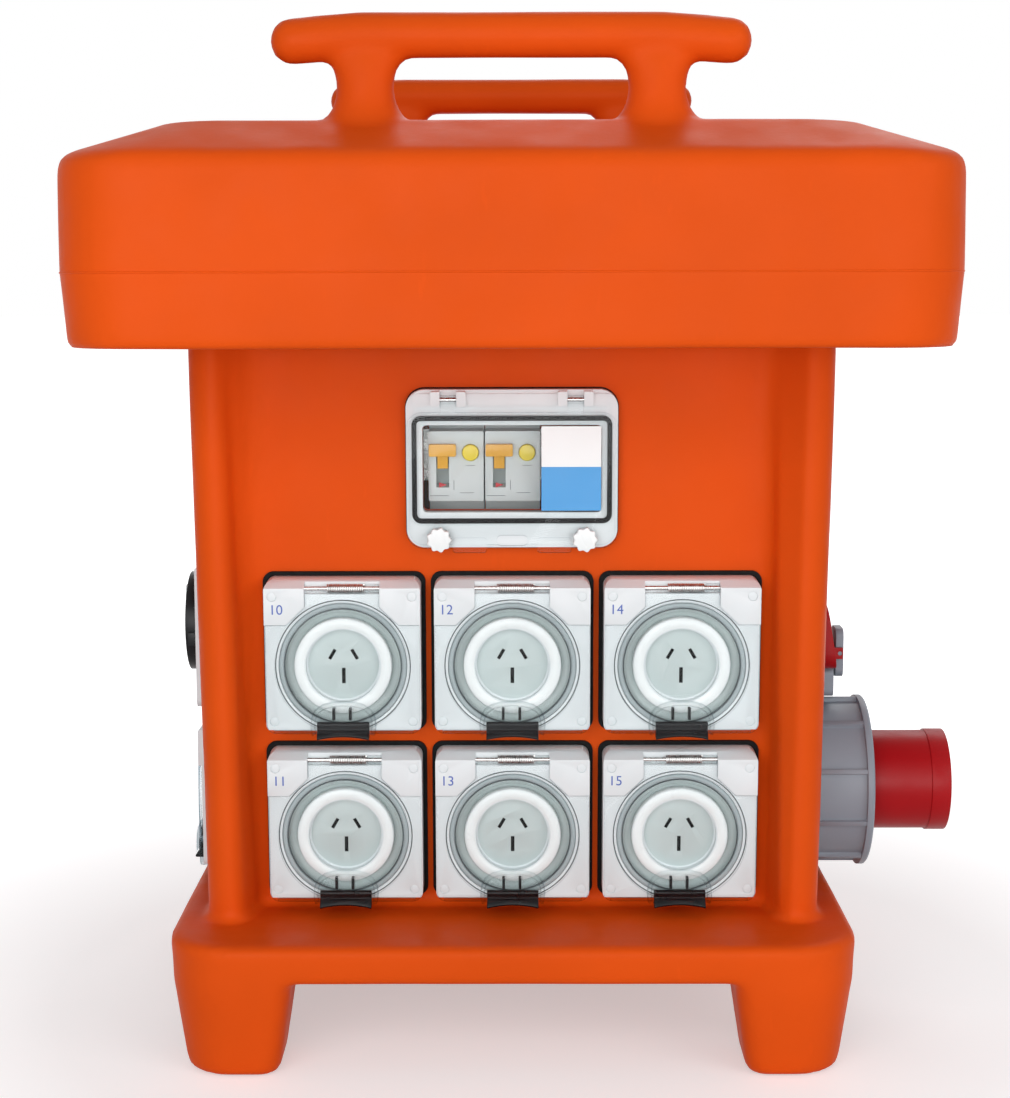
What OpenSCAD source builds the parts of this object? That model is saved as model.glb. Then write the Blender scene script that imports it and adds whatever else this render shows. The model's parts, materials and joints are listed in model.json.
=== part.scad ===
// Portable power distribution box: a hollow moulded lower body on four feet, a wide canopy with two
// carrying handles, seven flap-covered outlets, a breaker window, an isolator, an appliance inlet and a
// three-phase outlet. Millimetres, +Z up, origin on the floor under the middle of the bounding box.

/* [Lower body] */
// Width across the corner posts
body_w = 417; // [412:1:422]
// Depth across the corner posts
body_d = 294; // [286:1:300]
// How much narrower the body is at the ledge than under the canopy
body_draw = 13; // [8:1:16]
// Height of the underside of the canopy
body_top = 469; // [466:1:480]
// Wall thickness of both mouldings
wall = 5; // [4:0.5:6]
// Depth of the front recess at the height of the outlet grid's centre
recess_depth = 35.2; // [33:0.1:36]
// Lean of the front and rear panels, top edge outwards
panel_tilt = 2.8; // [2:0.1:3.2]
// Width of the front and rear panels
panel_w = 340; // [336:1:344]
// Depth of the recess in each side
side_recess = 13; // [10:1:15]

/* [Base] */
// Width of the base
base_w = 446; // [438:1:452]
// Depth of the base
base_d = 404; // [398:1:412]
// Height of the ledge that the panels stand on
ledge_z = 89; // [86:1:90]
// Height of the feet
foot_h = 64; // [60:1:66]
// Width of a foot where it meets the base
foot_w = 82; // [74:1:88]
// How far each face of a foot draws in towards the floor
foot_taper = 12; // [8:1:14]

/* [Canopy] */
// Width at the mould line
canopy_w = 534; // [526:1:540]
// Depth at the mould line
canopy_d = 556; // [550:1:560]
// Height of the mould line
seam_z = 512.5; // [508:0.5:518]
// Height of the shoulder, where the top starts to slope in
shoulder_z = 583; // [576:1:588]
// Height of the flat top
top_z = 602; // [600:1:606]
// How far the top slopes in on each side
top_inset = 55; // [50:1:58]
// Radius of the canopy's corners in plan
canopy_r = 45; // [40:1:50]

/* [Handles] */
// Diameter of the grip bar
bar_d = 26.5; // [25:0.5:29]
// Length of the grip bar over its round ends
bar_l = 287; // [278:1:292]
// Height of the grip bar's axis
bar_z = 652.5; // [645:0.5:658]
// Distance of each grip bar from the middle of the box
handle_y = 208; // [204:1:210]
// Distance of each handle leg from the middle of its bar
leg_x = 87; // [84:1:92]

/* [Outlets] */
// Side of a square outlet enclosure
enc_w = 101.5; // [100:0.5:104]
// Depth of an enclosure in front of its panel
enc_d = 24; // [24:0.5:26]
// Distance between outlets across the panel
pitch_x = 110.5; // [108:0.5:114]
// Distance between outlets up the panel
pitch_y = 115; // [113:0.5:118]
// Height of the outlet grid's centre
grid_z = 207.5; // [206:0.5:209]
// Radius of the round well that a plug enters
well_r = 24.3; // [24:0.1:25]

/* [Breaker window] */
// Width of the window frame
win_w = 137; // [134:1:140]
// Height of the window frame
win_h = 103; // [101:1:105]
// Height of the window's centre
win_z = 387; // [384:1:388]

/* [Side devices] */
// Height of the appliance inlet's axis, and of the outlet on the left
low_z = 150; // [149:1:152]
// Height of the isolator on the left
high_z = 264; // [262:1:266]
// Distance from the middle of the box to the inlet's tip
inlet_tip = 310; // [306:1:314]
// Outer radius of the inlet's tip band
tip_r = 36.2; // [35.8:0.1:36.4]

/* [Hidden] */

$fn = 48;

// Where the middle of the box lies, so that the origin is under the middle of the bounding box
mid_x = (canopy_w / 2 - inlet_tip) / 2;

// The panels
panel_y = body_d / 2 - recess_depth;
side_x = body_w / 2 - side_recess;
post_r = 18;
post_w = 24.5;
side_post = 44;
wall_slant = 12;

// The body's hollow
floor_t = 5;
top_plate_t = 8;
hatch_w = 300;
hatch_d = 170;
lid_screw_r = 4;
boss_h = 16;
lid_screw_places = [[-172, -70], [-172, 70], [172, -70], [172, 70], [-70, -100], [70, -100], [-70, 100], [70, 100]];

// Thickness of each slice that the canopy's form is drawn from
level_t = 0.1;

// The rear service cover
cover_w = 290;
cover_h = 300;
cover_opening_w = 250;
cover_opening_h = 260;
cover_y = 70;
cover_screw_r = 2.5;

// An outlet, from its panel outwards: gasket, enclosure, flap
gasket_t = 2.5;
front_z = enc_d - 2.5;
flap_gap = 0.3;
flap_z = front_z + flap_gap;
flap_t = 2.4;
socket_y = -5.7;
face_z = 16;
collar_r = 31.5;
ring_r = 42;
half = enc_w / 2;
tongue_w = 48;
shoulder_y = half - 29;
tongue_y = half - 17;
block_x = 36.5;
hinge_y = half - 4.95;
hinge_z = enc_d - 3.7;
pin_r = 1.25;
knuckle_r = 2.9;
spring_from = -9.5;
spring_to = 14.5;
lip_t = 1.8;
lip_z = 13;
latch_y = -41;
latch_z = enc_d + 3.3;
latch_w = 34;
screw_places = [[-45.4, 40.8], [45.4, 40.8], [-45.4, -43], [45.4, -43]];
panel_hole_r = 30;

// The breaker window
win_y = (win_z - grid_z) / cos(panel_tilt);
win_gasket_t = 2;
frame_z = 9;
lid_gap = 0.3;
lid_z = 13;
pane_t = 2;
opening_w = 116;
opening_h = 57;
win_hinge_x = 41;
win_hinge_y = 45.4;
win_hinge_z = 12.4;
knob_x = 47.3;
knob_y = -45.3;
breaker_w = 36;
breaker_x = [-36.5, 0.5];
nose_z = -4;
toggle_dx = -8.8;
toggle_pivot_y = 3;
toggle_pivot_z = -16;
test_dx = 9.4;
test_y = 9.1;
test_r = 5.4;

// The isolator
disc_r = 35;
disc_y = 3;
disc_z = enc_d + flap_gap;
disc_top = disc_z + 10;

// The inlet, along its axis from the side panel
inlet_len = inlet_tip - side_x;
band_l = 13.5;
shroud_r = tip_r - 1;
shroud_inner_r = 31.5;
ring_from = 17;
ring_to = 56.5;
ring_bore_r = 50.4;
ring_skin_r = 57;
ring_rim_r = 60.8;
ribs = 10;

// The three-phase outlet
phase_z = 252.5;
barrel_y = 5;
barrel_r = 23;
phase_well_r = 19.5;
phase_hinge_y = 32;
phase_hinge_z = 21;
phase_latch_y = -8;
phase_latch_z = 37.2;

// Colours
orange = "#E3651B";
light = "#D5DFE0";
grey = "#8F9AA6";
red = "#B5141A";
black = "#141518";

// ---- shared shapes ----

module rounded_square(w, d, r) {
    square([w - 2 * r, d], center = true);
    square([w, d - 2 * r], center = true);
    for (sx = [-1, 1], sy = [-1, 1])
        translate([sx * (w / 2 - r), sy * (d / 2 - r)]) circle(r);
}

module plate(w, d, r, from, to) {
    translate([0, 0, from]) linear_extrude(to - from) rounded_square(w, d, r);
}

module rod(r, from, to) {
    translate([0, 0, from]) cylinder(r = r, h = to - from);
}

// A rod along X
module cross_rod(r, x_from, x_to, y, z) {
    translate([x_from, y, z]) rotate([0, 90, 0]) cylinder(r = r, h = x_to - x_from);
}

// ---- places: +Z points out of the panel, +Y up it, +X to the right of someone facing it ----

module placed() {
    translate([mid_x, 0, 0]) children();
}

module on_front(x, y) {
    placed() translate([0, -panel_y, grid_z]) rotate([90 + panel_tilt, 0, 0])
        translate([x, y, 0]) children();
}

module on_rear(x, y) {
    placed() rotate([0, 0, 180]) translate([0, -panel_y, grid_z]) rotate([90 + panel_tilt, 0, 0])
        translate([x, y, 0]) children();
}

module on_left(z) {
    placed() translate([-side_x, 0, z]) rotate([0, 0, -90]) rotate([90, 0, 0]) children();
}

module on_right(z) {
    placed() translate([side_x, 0, z]) rotate([0, 0, 90]) rotate([90, 0, 0]) children();
}

// Outlet n of 10 to 15 is on the front, two to a column; 16 is on the left
module at_outlet(n) {
    if (n == 16) on_left(low_z) children();
    else on_front((floor((n - 10) / 2) - 1) * pitch_x, (n % 2 == 0 ? 0.5 : -0.5) * pitch_y) children();
}

module at_each_outlet() {
    for (n = [10:16]) at_outlet(n) children();
}

module at_window() {
    on_front(0, win_y) children();
}

// ---- the two mouldings ----

// Space in front of one leaning panel, set back by the wall where skin is the wall's thickness
module panel_recess(skin) {
    slant = wall_slant + 12;
    intersection() {
        translate([0, -body_d / 2, body_top / 2]) linear_extrude(2 * body_top, center = true)
            polygon([
                [-panel_w / 2 - wall_slant - slant - skin, -2 * recess_depth],
                [panel_w / 2 + wall_slant + slant + skin, -2 * recess_depth],
                [panel_w / 2 + skin - wall_slant, 2 * recess_depth],
                [-panel_w / 2 - skin + wall_slant, 2 * recess_depth]
            ]);
        translate([0, -panel_y + skin, grid_z]) rotate([90 + panel_tilt, 0, 0])
            translate([-body_w, -body_top, 0]) cube([2 * body_w, 2 * body_top, body_d]);
    }
}

module side_space(skin) {
    w = body_d - 2 * side_post + 2 * skin;
    translate([side_x - skin, -w / 2, 0]) cube([body_w, w, 2 * body_top]);
}

module recesses(skin) {
    panel_recess(skin);
    rotate([0, 0, 180]) panel_recess(skin);
    side_space(skin);
    rotate([0, 0, 180]) side_space(skin);
}

// A column that is w wide at the top, with both sides drawing in downwards
module column(w, d, r, skin, from, to) {
    lean = atan(body_draw / 2 / (body_top - ledge_z));
    difference() {
        plate(w, d, r, from, to);
        recesses(skin);
        for (turn = [0, 180]) rotate([0, 0, turn]) translate([w / 2, -d, body_top]) rotate([0, lean, 0])
            translate([0, 0, -2 * body_top]) cube([60, 2 * d, 4 * body_top]);
    }
}

module base_slab() {
    edge = 5;
    hull() {
        plate(base_w, base_d, canopy_r, foot_h, ledge_z - edge);
        for (a = [30, 60, 90])
            plate(base_w - 2 * edge * (1 - cos(a)), base_d - 2 * edge * (1 - cos(a)), canopy_r - edge * (1 - cos(a)),
                ledge_z - edge, ledge_z - edge * (1 - sin(a)));
    }
}

// One foot's outline: a wide radius on the outer corner and a small one on the others
module foot_outline(draw) {
    outer_r = canopy_r - draw;
    inner_r = 14;
    w = foot_w - 2 * draw;
    translate([base_w / 2 - foot_w + draw, base_d / 2 - foot_w + draw]) intersection() {
        square(w);
        union() {
            translate([w - outer_r, w - outer_r]) circle(outer_r, $fn = 48);
            for (p = [[inner_r, inner_r], [inner_r, w - inner_r - 4], [w - inner_r - 4, inner_r]])
                translate(p) circle(inner_r, $fn = 32);
        }
    }
}

module foot() {
    toe = 8;
    hull() {
        translate([0, 0, foot_h]) linear_extrude(1) foot_outline(0);
        translate([0, 0, toe]) linear_extrude(1) foot_outline(foot_taper * (1 - toe / foot_h));
        linear_extrude(1) foot_outline(foot_taper + toe * 0.6);
    }
}

module body_hollow() {
    column(body_w - 2 * wall, body_d - 2 * wall, post_r - wall, wall, foot_h + floor_t, body_top - top_plate_t);
    plate(base_w - 2 * wall, base_d - 2 * wall, canopy_r - wall, foot_h + floor_t, ledge_z - wall);
    plate(hatch_w, hatch_d, 20, body_top - top_plate_t - 1, body_top + 1);
    for (sx = [-1, 1], sy = [-1, 1])
        translate([sx * (base_w - foot_w) / 2, sy * (base_d - foot_w) / 2, 0])
            rod(foot_w / 2 - foot_taper - wall, floor_t + 1, foot_h + floor_t + 1);
}

module panel_holes() {
    for (n = [10:15])
        translate([-mid_x, 0, 0]) at_outlet(n) {
            translate([0, socket_y, 0]) rod(panel_hole_r, -wall - 4, 4);
            for (p = screw_places) translate(p) rod(2, -wall - 4, 4);
        }
    for (z = [low_z, high_z])
        translate([-mid_x, 0, 0]) on_left(z) {
            translate([0, socket_y, 0]) rod(panel_hole_r, -wall - 4, 4);
            for (p = screw_places) translate(p) rod(2, -wall - 4, 4);
        }
    translate([-mid_x, 0, 0]) at_window() plate(opening_w, opening_h, 3, -wall - 4, 4);
    translate([-mid_x, 0, 0]) on_rear(0, cover_y) {
        plate(cover_opening_w, cover_opening_h, 12, -wall - 4, 4);
        cover_screws_at() rod(cover_screw_r, -wall - 4, 4);
    }
    translate([-mid_x, 0, 0]) on_right(low_z) rod(34, -wall - 4, 4);
    translate([-mid_x, 0, 0]) on_right(phase_z) translate([0, barrel_y, 0]) rod(19, -wall - 4, 4);
    for (p = lid_screw_places) translate(p) rod(lid_screw_r, body_top - top_plate_t - 4, body_top + 4);
}

module lower_body() {
    color(orange) placed() difference() {
        union() {
            column(body_w, body_d, post_r, 0, ledge_z - 12, body_top);
            base_slab();
            for (mx = [0, 1], my = [0, 1]) mirror([mx, 0, 0]) mirror([0, my, 0]) foot();
        }
        body_hollow();
        panel_holes();
    }
}

// The canopy's outside, or its hollow where skin is the wall's thickness
module canopy_form(skin) {
    fillet = 10;
    rim = 3;
    hull() {
        canopy_level(body_top + level_t + skin, rim + skin);
        canopy_level(seam_z, skin);
        canopy_level(shoulder_z - fillet, skin + 0.5);
        for (a = [34, 68])
            canopy_level(shoulder_z - fillet + fillet * sin(a) - skin, skin + 0.5 + fillet * (1 - cos(a)));
        canopy_level(top_z - 3 - skin, skin + top_inset - 7);
        canopy_level(top_z - skin, skin + top_inset);
    }
}

module canopy_level(z, inset) {
    translate([0, 0, z - level_t]) linear_extrude(level_t)
        rounded_square(canopy_w - 2 * inset, canopy_d - 2 * inset, canopy_r, $fn = 32);
}

module leg_webs() {
    gap_z = top_z;
    under = bar_z - bar_d / 2;
    fillet = 13;
    for (s = [-1, 1])
        translate([s * 17, 0, 0]) difference() {
            union() {
                translate([s > 0 ? -2 : -fillet, under - fillet]) square([fillet + 2, fillet + 3]);
                translate([s > 0 ? -2 : -fillet, gap_z - 12]) square([fillet + 2, fillet + 12]);
            }
            translate([s * fillet, under - fillet]) circle(fillet);
            translate([s * fillet, gap_z + fillet]) circle(fillet);
        }
}

module handle() {
    r = bar_d / 2;
    end = bar_l / 2 - r;
    cross_rod(r, -end, end, 0, bar_z);
    for (s = [-1, 1]) translate([s * end, 0, bar_z]) sphere(r);
    for (s = [-1, 1]) translate([s * leg_x, 0, 0]) {
        for (d = [-4, 4]) translate([d, 0, 0]) rod(r - 0.5, top_z - 14, bar_z);
        translate([-4, 0.5 - r, top_z - 14]) cube([8, bar_d - 1, bar_z - top_z + 14]);
        rotate([90, 0, 0]) linear_extrude(bar_d - 9, center = true) leg_webs();
    }
}

module canopy() {
    color(orange) placed() difference() {
        union() {
            difference() {
                canopy_form(0);
                canopy_form(wall);
            }
            for (p = lid_screw_places) translate(p) rod(lid_screw_r + 5, body_top + wall - 1, body_top + wall + boss_h);
            for (s = [-1, 1]) translate([0, s * handle_y, 0]) handle();
        }
        plate(hatch_w, hatch_d, 20, body_top - 1, body_top + wall + 1);
        for (p = lid_screw_places) translate(p) rod(lid_screw_r, body_top - 1, body_top + boss_h);
    }
}

module canopy_screws() {
    under = body_top - top_plate_t;
    color("silver") placed() for (p = lid_screw_places) translate(p) {
        translate([0, 0, under - 5]) cylinder(r = 7.5, h = 5, $fn = 6);
        rod(lid_screw_r, under - 1, body_top + boss_h - 2);
    }
}

// ---- the rear service cover ----

module cover_screws_at() {
    for (sx = [-1, 1], v = [-1, 0, 1])
        translate([sx * (cover_w / 2 - 9), v * (cover_h / 2 - 9), 0]) children();
    for (sy = [-1, 1], u = [-0.33, 0.33])
        translate([u * cover_w, sy * (cover_h / 2 - 9), 0]) children();
}

module rear_cover() {
    color(orange) on_rear(0, cover_y) difference() {
        union() {
            plate(cover_w, cover_h, 14, 2, 6);
            for (s = [-1, 0, 1]) translate([0, s * 60, 0]) plate(180, 26, 8, 5, 8.5);
        }
        cover_screws_at() rod(cover_screw_r, 0, 9);
    }
}

module rear_cover_gasket() {
    color(black) on_rear(0, cover_y) difference() {
        plate(cover_w - 2, cover_h - 2, 13, 0, 2);
        plate(cover_opening_w, cover_opening_h, 12, -1, 3);
        cover_screws_at() rod(cover_screw_r, -1, 3);
    }
}

module rear_cover_screws() {
    color("silver") on_rear(0, cover_y) cover_screws_at() difference() {
        union() {
            rod(5, 6, 9);
            rod(cover_screw_r, -wall - 7, 6.5);
        }
        translate([-4, -0.6, 7.6]) cube([8, 1.2, 3]);
    }
}

// ---- outlets ----

// Everything in front of the slope along an enclosure's top edge
module top_slope() {
    translate([-half - 1, half, 15]) rotate([25.8, 0, 0]) cube([enc_w + 2, 12, 24]);
}

module corner_blocks() {
    for (m = [0, 1]) mirror([m, 0, 0])
        translate([0, 0, front_z - 1]) linear_extrude(enc_d - front_z + 1) polygon([
            [tongue_w / 2 + 0.5, half],
            [tongue_w / 2 + 0.5, tongue_y + 0.3],
            [block_x + 0.3, shoulder_y + 0.4],
            [half, shoulder_y + 0.4],
            [half, half]
        ]);
}

module screw_holes() {
    for (p = screw_places) translate(p) {
        rod(2, 0, enc_d);
        rod(3.1, front_z - 6, enc_d + 1);
    }
}

module enclosure() {
    color(light) difference() {
        intersection() {
            plate(enc_w, enc_w, 6, gasket_t, enc_d);
            union() {
                plate(enc_w + 2, enc_w + 2, 6, gasket_t, front_z);
                corner_blocks();
            }
        }
        plate(84, 84, 5, gasket_t - 1, 10);
        translate([0, socket_y, 0]) {
            rod(well_r, face_z, enc_d);
            rod(well_r - 1.2, 9, enc_d);
            difference() {
                rod(ring_r, 14, enc_d);
                rod(collar_r, 13, enc_d);
            }
        }
        top_slope();
        // pocket for the hinge, and the blind holes that hold its pin
        translate([-tongue_w / 2 - 0.4, hinge_y - 3.4, hinge_z - 3.2]) cube([tongue_w + 0.8, 12, 12]);
        cross_rod(pin_r, -tongue_w / 2 - 5, tongue_w / 2 + 5, hinge_y, hinge_z);
        // rebate that the flap's lower lip folds into
        translate([-half - 1, -half - 1, lip_z - 0.3]) cube([enc_w + 2, 1 + lip_t + 0.3, enc_d]);
        screw_holes();
    }
}

module flap_outline() {
    polygon([
        [-half + 0.4, -half], [half - 0.4, -half], [half - 0.4, shoulder_y], [block_x, shoulder_y],
        [tongue_w / 2, tongue_y], [tongue_w / 2, hinge_y - 3.2], [-tongue_w / 2, hinge_y - 3.2],
        [-tongue_w / 2, tongue_y], [-block_x, shoulder_y], [-half + 0.4, shoulder_y]
    ]);
}

// The cover over the latch, open below and behind
module latch_cowl() {
    difference() {
        translate([0, -41.9, 0]) plate(44, 17.7, 3, flap_z + flap_t - 0.5, flap_z + 9.7);
        translate([-19.8, -52, flap_z + flap_t]) cube([39.6, 17, 5.5]);
        translate([-19.8, -52, flap_z + flap_t]) cube([39.6, 7, 12]);
    }
}

module flap() {
    color([0.85, 0.9, 0.92, 0.5]) difference() {
        union() {
            intersection() {
                translate([0, 0, flap_z]) linear_extrude(flap_t) flap_outline();
                plate(enc_w - 0.8, enc_w, 6, flap_z, flap_z + flap_t);
            }
            translate([-half + 4, -half, lip_z]) cube([enc_w - 8, lip_t, flap_z - lip_z + 1]);
            latch_cowl();
            for (span = [[-tongue_w / 2, spring_from - 0.4], [spring_to + 0.4, tongue_w / 2]]) {
                cross_rod(knuckle_r, span[0], span[1], hinge_y, hinge_z);
                translate([span[0], hinge_y - 4, flap_z]) cube([span[1] - span[0], 4, 1.2]);
            }
        }
        cross_rod(pin_r + 0.05, -half, half, hinge_y, hinge_z);
        cross_rod(1.45, -21.2, 21.2, latch_y, latch_z);
    }
}

module latch() {
    y = latch_y;
    z = latch_z;
    color(black) {
        cross_rod(1.4, -20.9, 20.9, y, z);
        translate([-latch_w / 2, 0, 0]) rotate([90, 0, 90]) linear_extrude(latch_w) {
            translate([y, z]) circle(2);
            polygon([
                [y, z - 2], [y, z + 1.6], [y - 5.5, z + 0.8], [y - 8, z + 4.2], [y - 11, z + 5.6],
                [y - 12, z + 5], [y - 12, z - 5], [y - 10.4, z - 5], [y - 10.4, z - 2]
            ]);
        }
    }
}

module device_gaskets() {
    color(black) {
        at_each_outlet() gasket();
        on_left(high_z) gasket();
        on_right(low_z) difference() {
            plate(107, 107, 7, 0, gasket_t);
            rod(34, -1, gasket_t + 1);
        }
    }
}

module gasket() {
    difference() {
        plate(107, 107, 7, 0, gasket_t);
        plate(84, 84, 5, -1, gasket_t + 1);
        for (p = screw_places) translate(p) rod(2, -1, gasket_t + 1);
    }
}

module outlet_sockets() {
    color("#B3C1C1") at_each_outlet() translate([0, socket_y, 0]) difference() {
        union() {
            rod(well_r - 1.2, 9, face_z);
            rod(22, -18, 9.5);
            plate(28, 34, 3, -28, -17);
        }
        for (s = [-1, 1]) translate([s * 7.3, 6.7, face_z]) rotate([0, 0, -s * -30]) cube([2.2, 7.5, 24], center = true);
        translate([0, -7.6, face_z]) cube([2.4, 10.5, 24], center = true);
    }
}

module outlet_screws() {
    color(light) {
        at_each_outlet() for (i = [0:3]) translate(screw_places[i]) screw(i < 2 ? enc_d - 0.4 : front_z - 0.4);
        on_left(high_z) for (p = screw_places) translate(p) screw(enc_d - 0.4);
    }
}

// A fixing screw under its push-in cap
module screw(cap_z) {
    rod(3.1, front_z - 6, cap_z);
    rod(2, -wall - 7, front_z - 5);
}

module flap_hinge_pins() {
    color("silver") at_each_outlet()
        cross_rod(pin_r, -tongue_w / 2 - 4.8, tongue_w / 2 + 4.8, hinge_y, hinge_z);
}

module flap_springs() {
    color("silver") at_each_outlet() difference() {
        cross_rod(2.85, spring_from, spring_to, hinge_y, hinge_z);
        cross_rod(pin_r, spring_from - 1, spring_to + 1, hinge_y, hinge_z);
    }
}

// ---- the breaker window ----

module window_gasket() {
    color(black) at_window() difference() {
        plate(win_w + 1.6, win_h + 1.6, 12.8, 0, win_gasket_t);
        plate(opening_w, opening_h, 3, -1, win_gasket_t + 1);
    }
}

module window_frame() {
    color(light) at_window() difference() {
        union() {
            plate(win_w, win_h, 12, win_gasket_t, frame_z);
            for (s = [-1, 1]) translate([s * win_hinge_x, win_hinge_y + 0.6, 0]) plate(23, 9.6, 1.5, frame_z - 1, 15.4);
            translate([0, win_hinge_y - 1, 0]) plate(win_w - 8, 9, 2, frame_z - 1, frame_z + 1.2);
        }
        plate(opening_w, opening_h, 3, win_gasket_t - 1, frame_z + 1);
        for (s = [-1, 1]) {
            translate([s * win_hinge_x - 5.4, win_hinge_y - 6, frame_z]) cube([10.8, 13, 12]);
            cross_rod(pin_r, s * win_hinge_x - 10.5, s * win_hinge_x + 10.5, win_hinge_y, win_hinge_z);
            translate([s * knob_x, knob_y, 0]) rod(3.6, win_gasket_t + 0.5, frame_z + 1);
        }
    }
}

module window_hinge_pins() {
    color("silver") at_window() for (s = [-1, 1])
        cross_rod(pin_r, s * win_hinge_x - 10.4, s * win_hinge_x + 10.4, win_hinge_y, win_hinge_z);
}

module window_lid() {
    low = frame_z + lid_gap;
    top_edge = 37;
    pane_h = win_h / 2 + top_edge;
    pane_y = (top_edge - win_h / 2) / 2;
    color([0.85, 0.9, 0.92, 0.5]) at_window() difference() {
        union() {
            translate([0, pane_y, 0]) difference() {
                plate(win_w, pane_h, 11, low, lid_z);
                plate(win_w - 4, pane_h - 4, 9, low - 1, lid_z - pane_t);
            }
            for (s = [-1, 1]) {
                translate([s * 27.5, -49.8, 0]) plate(22, 9.6, 2, low, lid_z);
                translate([s * knob_x, knob_y, 0]) rod(7, low, lid_z);
                translate([s * win_hinge_x - 5, top_edge - 4, lid_z - pane_t]) cube([10, win_hinge_y - top_edge + 4, pane_t]);
                cross_rod(2.8, s * win_hinge_x - 5, s * win_hinge_x + 5, win_hinge_y, win_hinge_z);
            }
        }
        for (s = [-1, 1]) {
            cross_rod(pin_r + 0.05, s * win_hinge_x - 6, s * win_hinge_x + 6, win_hinge_y, win_hinge_z);
            translate([s * knob_x, knob_y, 0]) rod(2.6, low - 1, lid_z + 1);
        }
        // finger notch in the middle of the lower edge
        translate([0, -46.5, 0]) plate(20, 7, 3, low - 1, lid_z + 1);
    }
}

module window_lid_seal() {
    color(black) at_window() translate([0, -1, 0]) difference() {
        plate(125, 67.5, 5, frame_z + 0.1, lid_z - pane_t);
        plate(125 - 5.2, 67.5 - 5.2, 2.4, frame_z - 1, lid_z);
    }
}

module window_label() {
    color("#3F97D6") at_window() translate([38.3, -1, 0]) plate(38.6, 56, 0.5, lid_z, lid_z + 0.3);
}

module window_knob(s) {
    color("white") at_window() translate([s * knob_x, knob_y, 0]) {
        rod(2.55, win_gasket_t + 1.2, lid_z + 1);
        rod(7.2, lid_z + 0.2, lid_z + 5.6);
        for (a = [0:60:300]) rotate([0, 0, a]) translate([5.9, 0, 0]) rod(2.3, lid_z + 0.2, lid_z + 5);
    }
}

module window_knob_left() {
    window_knob(-1);
}

module window_knob_right() {
    window_knob(1);
}

// ---- the breakers ----

module din_rail() {
    color("silver") at_window() {
        translate([-63, -17.5, -63]) cube([126, 35, 1]);
        for (s = [-1, 1]) translate([s * 61.5 - 1.5, -17.5, -63]) cube([3, 35, 63 - wall]);
    }
}

module breaker_case(i) {
    x = breaker_x[i];
    color(light) at_window() translate([x, 0, 0]) difference() {
        union() {
            translate([-breaker_w / 2, -42.5, -62]) cube([breaker_w, 85, 40]);
            plate(breaker_w, 46, 1, -23, nose_z);
        }
        // slot that the toggle swings in, and the hole of the test button
        translate([toggle_dx - 4.2, -14, -24]) cube([8.4, 27, 30]);
        translate([test_dx, test_y, 0]) rod(test_r + 0.25, -15, 0);
    }
}

module breaker_1_case() {
    breaker_case(0);
}

module breaker_2_case() {
    breaker_case(1);
}

module toggle(i) {
    y = toggle_pivot_y;
    z = toggle_pivot_z;
    color("#D9A516") at_window() translate([breaker_x[i] + toggle_dx, 0, 0]) {
        cross_rod(3, -3.5, 3.5, y, z);
        translate([-3.5, y - 2, z]) cube([7, 8, 11]);
        translate([-3.5, y - 4.5, nose_z - 3.6]) cube([7, 11, 4]);
        translate([0, 11, 0]) plate(17.8, 8, 1.2, nose_z + 0.4, nose_z + 5.6);
    }
}

module breaker_1_toggle() {
    toggle(0);
}

module breaker_2_toggle() {
    toggle(1);
}

module test_button(i) {
    color("#E0CC1E") at_window() translate([breaker_x[i] + test_dx, test_y, 0]) rod(test_r, nose_z - 7, nose_z + 2.6);
}

module breaker_1_test_button() {
    test_button(0);
}

module breaker_2_test_button() {
    test_button(1);
}

// ---- the isolator on the left ----

module isolator_box() {
    color(light) on_left(high_z) difference() {
        plate(enc_w, enc_w, 6, gasket_t, enc_d);
        plate(84, 84, 5, gasket_t - 1, 18);
        top_slope();
        translate([0, disc_y, 0]) rod(6, 17, enc_d + 1);
        screw_holes();
    }
}

module isolator_knob() {
    color(light) on_left(high_z) translate([0, disc_y, 0]) {
        rod(disc_r - 3, disc_z, disc_top - 1.5);
        rod(disc_r - 6, disc_top - 2, disc_top);
        rod(5.95, -10, disc_z + 1);
        plate(12, 52, 5, disc_top - 1, disc_top + 3);
    }
}

module isolator_rim() {
    color(black) on_left(high_z) translate([0, disc_y, 0]) {
        difference() {
            rod(disc_r, disc_z, disc_top - 0.8);
            rod(disc_r - 3, disc_z - 1, disc_top);
        }
        translate([disc_r - 1, -12.5, disc_z + 0.4]) cube([2.8, 9, 6.6]);
    }
}

// ---- the appliance inlet on the right ----

module inlet_base() {
    color(grey) on_right(low_z) difference() {
        union() {
            plate(enc_w, enc_w, 8, gasket_t, 12);
            rod(50, 11, 48);
        }
        rod(shroud_r, 11.99, 50);
        rod(30, 0, 13);
    }
}

// Half of the locking ring's section: radius, then distance from the panel
module ring_section() {
    polygon([
        [ring_bore_r, ring_from], [ring_skin_r + 1.5, ring_from], [ring_skin_r + 1.5, ring_from + 3],
        [ring_skin_r, ring_from + 3], [ring_skin_r, ring_to - 5], [ring_rim_r, ring_to - 5],
        [ring_rim_r, ring_to - 1.2], [ring_rim_r - 1.2, ring_to], [tip_r + 0.4, ring_to],
        [tip_r + 0.4, ring_to - 4], [ring_bore_r, ring_to - 4]
    ]);
}

module inlet_ring() {
    color(grey) on_right(low_z) {
        rotate_extrude() ring_section();
        for (i = [0:ribs - 1]) rotate([0, 0, i * 360 / ribs])
            translate([-1.6, ring_skin_r - 1, ring_from + 1])
                cube([3.2, ring_rim_r - ring_skin_r + 0.4, ring_to - ring_from - 4]);
    }
}

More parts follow.
